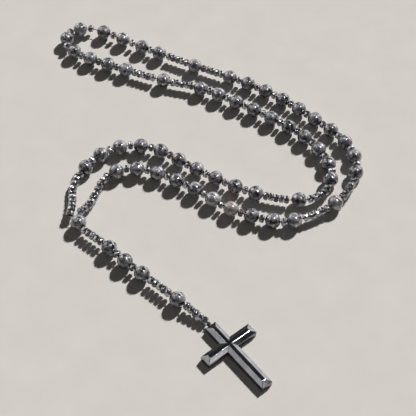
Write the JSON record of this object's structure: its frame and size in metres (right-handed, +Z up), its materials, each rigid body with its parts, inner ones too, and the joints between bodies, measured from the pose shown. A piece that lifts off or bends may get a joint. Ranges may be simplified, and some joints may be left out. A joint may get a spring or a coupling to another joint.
{
  "type": "rosary",
  "caption": "Five-decade rosary of polished stone beads and small faceted spacers on one black thread, with a centre bead, a short pendant and a bevelled cross, lying doubled.",
  "frame": {"origin": "middle of the rosary's outline as it lies, on the table: z = 0 is the table", "axes": "+Z up; +Y away from the viewer of the picture, along the long side of the doubled loop's box; +X to the viewer's right"},
  "size_m": [0.169, 0.2356, 0.008],
  "materials": {
    "larvikite": "polished dark grey stone with silvery and bluish flakes",
    "hematite": "ground and polished to a dark metallic mirror",
    "thread": "black braided synthetic thread"
  },
  "bodies": {
    "loop_middle": {"decade_2_stones": "larvikite", "decade_2_spacers": "hematite", "decade_4_stones": "larvikite", "decade_4_spacers": "hematite", "spacers_after_our_father_1": "hematite", "spacers_before_our_father_2": "hematite", "spacers_before_our_father_3": "hematite", "spacers_after_our_father_3": "hematite", "spacers_before_our_father_4": "hematite", "spacers_after_our_father_4": "hematite", "thread_middle_lower": "thread", "thread_middle_upper": "thread"},
    "loop_tail": {"decade_1_stones": "larvikite", "decade_1_spacers": "hematite", "decade_5_stones": "larvikite", "decade_5_spacers": "hematite", "spacers_before_our_father_1": "hematite", "left_run_spacers": "hematite", "right_run_spacers": "hematite", "centre_bead": "larvikite", "thread_tail_left": "thread", "thread_tail_right": "thread"},
    "loop_end": {"decade_3_stones": "larvikite", "decade_3_spacers": "hematite", "spacers_after_our_father_2": "hematite", "thread_end": "thread"},
    "loose_spacer": {"loose_spacer": "hematite"},
    "pendant_run_1": {"pendant_spacers_1": "hematite", "thread_pendant_1": "thread"},
    "pendant_link_2": {"pendant_spacer_2": "hematite", "thread_pendant_2": "thread"},
    "pendant_link_3": {"pendant_spacer_3": "hematite", "thread_pendant_3": "thread"},
    "pendant_link_4": {"thread_pendant_4": "thread"},
    "pendant_run_5": {"pendant_spacers_4": "hematite", "thread_pendant_5": "thread"},
    "pendant_link_6": {"thread_pendant_6": "thread"},
    "pendant_run_7": {"pendant_spacers_5": "hematite", "thread_pendant_7": "thread"},
    "knot": {"knot": "thread"},
    "cross": {"cross": "hematite", "thread_in_cross": "thread"},
    "our_father_1": {"our_father_1": "larvikite"},
    "our_father_2": {"our_father_2": "larvikite"},
    "our_father_3": {"our_father_3": "larvikite"},
    "our_father_4": {"our_father_4": "larvikite"},
    "pendant_hail_mary_1": {"pendant_hail_mary_1": "larvikite"},
    "pendant_hail_mary_2": {"pendant_hail_mary_2": "larvikite"},
    "pendant_hail_mary_3": {"pendant_hail_mary_3": "larvikite"},
    "pendant_our_father": {"pendant_our_father": "larvikite"}
  },
  "joints": [
    {"name": "loop_tail_fold", "type": "hinge", "parent": "loop_middle", "child": "loop_tail", "pos_m": [0.04869, -0.01447, 0.004], "axis": [-0.4634, 0.8862, 0], "range_deg": [0, 40]},
    {"name": "loop_end_fold", "type": "hinge", "parent": "loop_middle", "child": "loop_end", "pos_m": [-0.02516, 0.08466, 0.004], "axis": [0.2649, 0.9643, 0], "range_deg": [0, 40]},
    {"name": "swing_below_centre_bead", "type": "hinge", "parent": "loop_tail", "child": "pendant_run_1", "pos_m": [-0.0592, -0.03056, 0.004], "axis": [0, 0, 1], "range_deg": [-25, 5]},
    {"name": "swing_at_hail_mary_1", "type": "hinge", "parent": "pendant_run_1", "child": "pendant_link_2", "pos_m": [-0.04804, -0.03923, 0.004], "axis": [0, 0, 1], "range_deg": [-25, 5]},
    {"name": "swing_at_hail_mary_2", "type": "hinge", "parent": "pendant_link_2", "child": "pendant_link_3", "pos_m": [-0.03964, -0.04691, 0.004], "axis": [0, 0, 1], "range_deg": [-25, 5]},
    {"name": "swing_at_hail_mary_3", "type": "hinge", "parent": "pendant_link_3", "child": "pendant_link_4", "pos_m": [-0.03103, -0.05434, 0.004], "axis": [0, 0, 1], "range_deg": [-25, 5]},
    {"name": "swing_below_hail_mary_3", "type": "hinge", "parent": "pendant_link_4", "child": "pendant_run_5", "pos_m": [-0.02425, -0.05972, 0.004], "axis": [0, 0, 1], "range_deg": [-25, 5]},
    {"name": "swing_above_our_father", "type": "hinge", "parent": "pendant_run_5", "child": "pendant_link_6", "pos_m": [-0.01324, -0.0686, 0.004], "axis": [0, 0, 1], "range_deg": [-25, 5]},
    {"name": "swing_below_our_father", "type": "hinge", "parent": "pendant_link_6", "child": "pendant_run_7", "pos_m": [-0.00645, -0.07396, 0.004], "axis": [0, 0, 1], "range_deg": [-25, 5]},
    {"name": "swing_at_knot", "type": "hinge", "parent": "pendant_run_7", "child": "knot", "pos_m": [0.00469, -0.08269, 0.00227], "axis": [0, 0, 1], "range_deg": [-25, 5]},
    {"name": "cross_lift", "type": "hinge", "parent": "knot", "child": "cross", "pos_m": [0.00613, -0.08439, 0.0022], "axis": [-0.7622, -0.6473, 0], "range_deg": [0, 35]},
    {"name": "loose_spacer_slide", "type": "slide", "parent": "loop_end", "child": "loose_spacer", "axis": [0.9691, -0.2465, 0], "range_m": [0, 0.0022]},
    {"name": "our_father_1_spin", "type": "hinge", "parent": "loop_middle", "child": "our_father_1", "pos_m": [0.05015, -0.00837, 0.004], "axis": [0.9985, 0.0555, 0], "continuous": true},
    {"name": "our_father_2_spin", "type": "hinge", "parent": "loop_middle", "child": "our_father_2", "pos_m": [-0.02332, 0.0742, 0.004], "axis": [-0.9626, 0.2708, 0], "continuous": true},
    {"name": "our_father_3_spin", "type": "hinge", "parent": "loop_middle", "child": "our_father_3", "pos_m": [-0.00611, 0.08662, 0.004], "axis": [0.9165, -0.4, 0], "continuous": true},
    {"name": "our_father_4_spin", "type": "hinge", "parent": "loop_middle", "child": "our_father_4", "pos_m": [0.06885, -0.00969, 0.004], "axis": [-0.7214, -0.6925, 0], "continuous": true},
    {"name": "pendant_hail_mary_1_spin", "type": "hinge", "parent": "pendant_link_2", "child": "pendant_hail_mary_1", "pos_m": [-0.04477, -0.04206, 0.004], "axis": [0.757, -0.6534, 0], "continuous": true},
    {"name": "pendant_hail_mary_2_spin", "type": "hinge", "parent": "pendant_link_3", "child": "pendant_hail_mary_2", "pos_m": [-0.03643, -0.0498, 0.004], "axis": [0.7431, -0.6692, 0], "continuous": true},
    {"name": "pendant_hail_mary_3_spin", "type": "hinge", "parent": "pendant_link_4", "child": "pendant_hail_mary_3", "pos_m": [-0.02764, -0.05703, 0.004], "axis": [0.7834, -0.6215, 0], "continuous": true},
    {"name": "pendant_our_father_spin", "type": "hinge", "parent": "pendant_link_6", "child": "pendant_our_father", "pos_m": [-0.00984, -0.07128, 0.004], "axis": [0.785, -0.6195, 0], "continuous": true}
  ]
}
